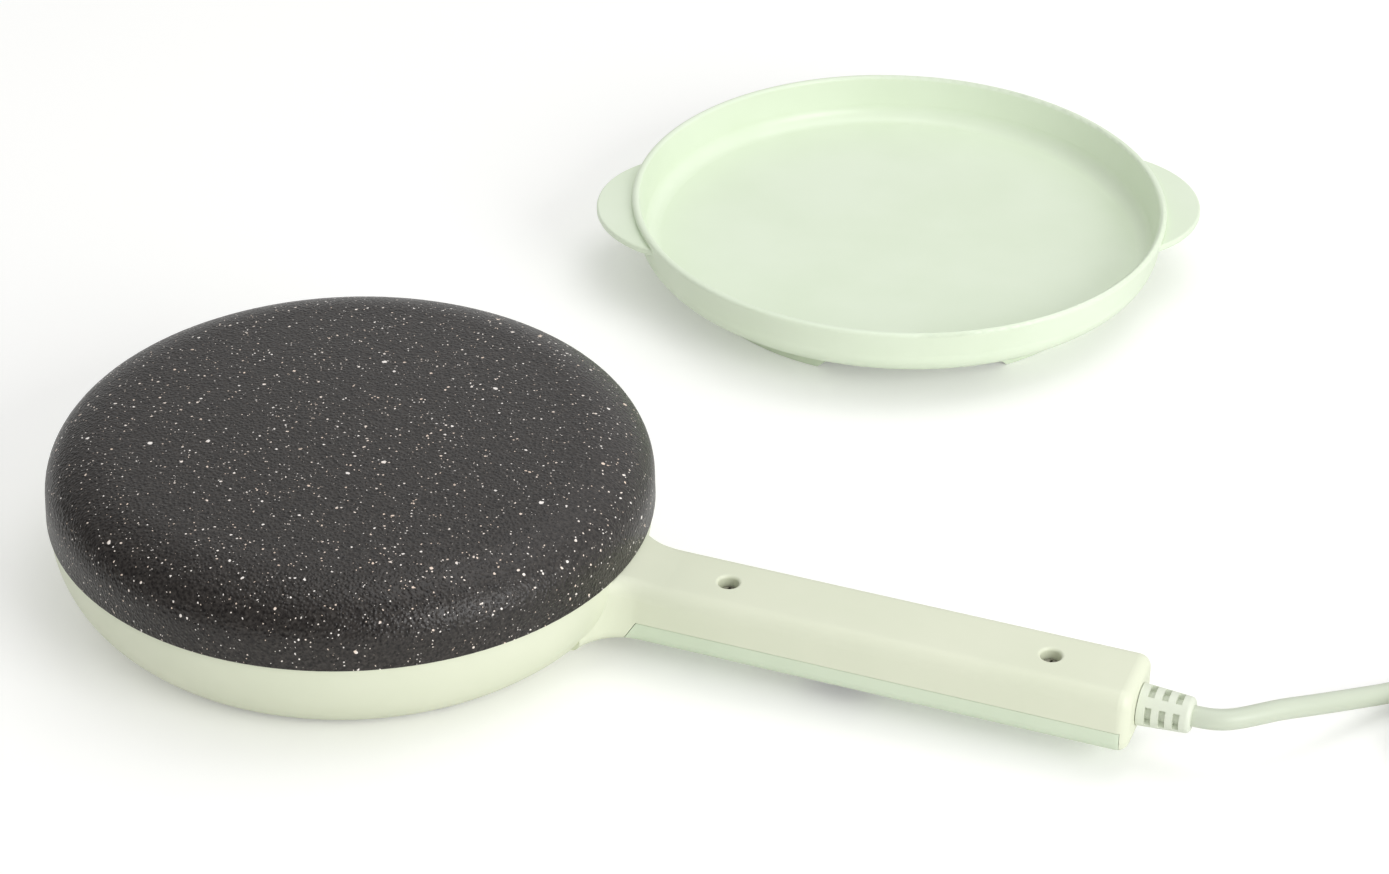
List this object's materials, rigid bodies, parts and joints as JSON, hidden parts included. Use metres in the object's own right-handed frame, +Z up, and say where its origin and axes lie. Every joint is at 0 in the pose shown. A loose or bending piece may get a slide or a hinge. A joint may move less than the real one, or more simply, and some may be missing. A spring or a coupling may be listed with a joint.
{
  "type": "electric crepe maker",
  "caption": "Dip-type electric crepe maker: a round domed hot plate on a shallow body with a long square handle and a cord, beside its eared batter dish.",
  "frame": {"origin": "on the table, under the middle of the round hot plate, at the centre of the circle that the four rubber feet stand on", "axes": "+X along the handle, from the plate towards the cord; +Y towards the batter dish; +Z up"},
  "size_m": [0.5774, 0.4603, 0.0599],
  "materials": {
    "shell": "smooth satin, pale sage green",
    "dish_plastic": "smooth satin, pale sage white",
    "plate_coating": "die-cast, under a pebbled charcoal non-stick coating with cream specks",
    "gasket": "matte silicone",
    "foot_rubber": "matte",
    "screw_steel": "zinc plated, dull",
    "shield_steel": "galvanised sheet",
    "element_sheath": "dull, heat tinted",
    "terminal_brass": "plain",
    "thermostat_resin": "phenolic resin",
    "fuse_metal": "plain",
    "switch_black": "moulded, fine grain",
    "lamp_amber": "clear amber",
    "lamp_glass": "clear",
    "cord_pvc": "flexible vinyl, satin",
    "clamp_plastic": "plain",
    "wire_brown": "silicone insulation",
    "wire_blue": "silicone insulation",
    "wire_green": "silicone insulation",
    "plug_plastic": "moulded vinyl, satin",
    "pin_brass": "nickel plated"
  },
  "bodies": {
    "pan": {"body_shell": "shell", "handle_cover": "shell", "heating_plate": "plate_coating", "rim_gasket": "gasket", "base_feet": "foot_rubber", "plate_screws": "screw_steel", "handle_screws": "screw_steel", "heat_shield": "shield_steel", "heater_element": "element_sheath", "element_terminals": "terminal_brass", "thermostat": "thermostat_resin", "thermostat_bracket": "shield_steel", "thermostat_screws": "screw_steel", "thermal_fuse": "fuse_metal", "fuse_clip": "shield_steel", "earth_tag": "terminal_brass", "tag_screws": "screw_steel", "switch_body": "switch_black", "switch_terminals": "terminal_brass", "lamp_lens": "lamp_amber", "pilot_lamp": "lamp_glass", "strain_relief": "cord_pvc", "cord_inner": "cord_pvc", "cord_clamp": "clamp_plastic", "clamp_screws": "screw_steel", "live_wire": "wire_brown", "switched_wire": "wire_brown", "neutral_wire": "wire_blue", "earth_wire": "wire_green", "thermostat_lead": "wire_brown", "fuse_lead": "wire_blue", "power_cord": "cord_pvc", "power_cord_coil": "cord_pvc", "plug_body": "plug_plastic", "plug_pins": "pin_brass"},
    "rocker": {"switch_rocker": "switch_black"},
    "dish": {"batter_dish": "dish_plastic"}
  },
  "joints": [
    {"name": "switch_rock", "type": "hinge", "parent": "pan", "child": "rocker", "pos_m": [0.171, 0, 0.0092], "axis": [0, 1, 0], "range_deg": [0, 18]},
    {"name": "dish_lift", "type": "slide", "parent": "pan", "child": "dish", "axis": [0, 0, 1], "range_m": [0, 0.15]}
  ]
}
